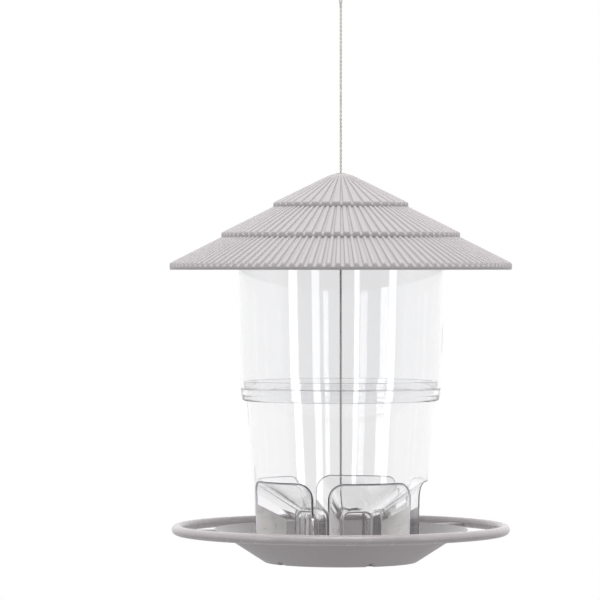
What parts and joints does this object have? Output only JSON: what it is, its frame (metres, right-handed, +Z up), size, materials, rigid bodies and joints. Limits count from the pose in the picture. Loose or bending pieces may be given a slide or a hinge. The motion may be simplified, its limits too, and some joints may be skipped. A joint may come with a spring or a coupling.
{
  "type": "hanging gravity seed feeder",
  "caption": "Round hanging gravity feeder: a clear two-stage telescoping hopper with arched feed ports stands in a dish with a hoop perch, under a tiered fluted roof on a wire.",
  "frame": {"origin": "inside top of the wire eye that the feeder hangs from, on the feeder's axis", "axes": "+Z up along the wire and the feeder's axis, +X to the right and -Y to the front as seen by a viewer of the front port"},
  "size_m": [0.24, 0.24, 0.4458],
  "materials": {
    "tray_plastic": "moulded, satin warm grey",
    "perch_plastic": "moulded, satin warm grey",
    "clear_lower": "clear moulded styrene, frosted inside the ports",
    "clear_upper": "clear moulded styrene, polished",
    "roof_plastic": "moulded, satin light warm grey",
    "bush_plastic": "moulded, satin",
    "wire": "twisted bare steel strands",
    "washer_steel": "zinc plated",
    "ferrule_metal": "crimped"
  },
  "bodies": {
    "tray": {"seed_tray": "tray_plastic", "perch_ring": "perch_plastic", "hanging_cable": "wire", "cable_eye": "wire", "stop_washer": "washer_steel", "stop_ferrule": "ferrule_metal"},
    "lower_stage": {"lower_hopper": "clear_lower"},
    "upper_stage": {"upper_hopper": "clear_upper"},
    "bush": {"roof_bush": "bush_plastic"},
    "roof": {"roof_canopy": "roof_plastic"}
  },
  "joints": [
    {"name": "bayonet_twist", "type": "hinge", "parent": "tray", "child": "lower_stage", "pos_m": [0, 0, -0.43], "axis": [0, 0, 1], "range_deg": [0, 20]},
    {"name": "hopper_telescope", "type": "slide", "parent": "lower_stage", "child": "upper_stage", "axis": [0, 0, 1], "range_m": [-0.085, 0]},
    {"name": "roof_lift", "type": "slide", "parent": "upper_stage", "child": "bush", "axis": [0, 0, 1], "range_m": [0, 0.11]},
    {"name": "roof_spin", "type": "hinge", "parent": "bush", "child": "roof", "pos_m": [0, 0, -0.175], "axis": [0, 0, 1], "continuous": true}
  ]
}
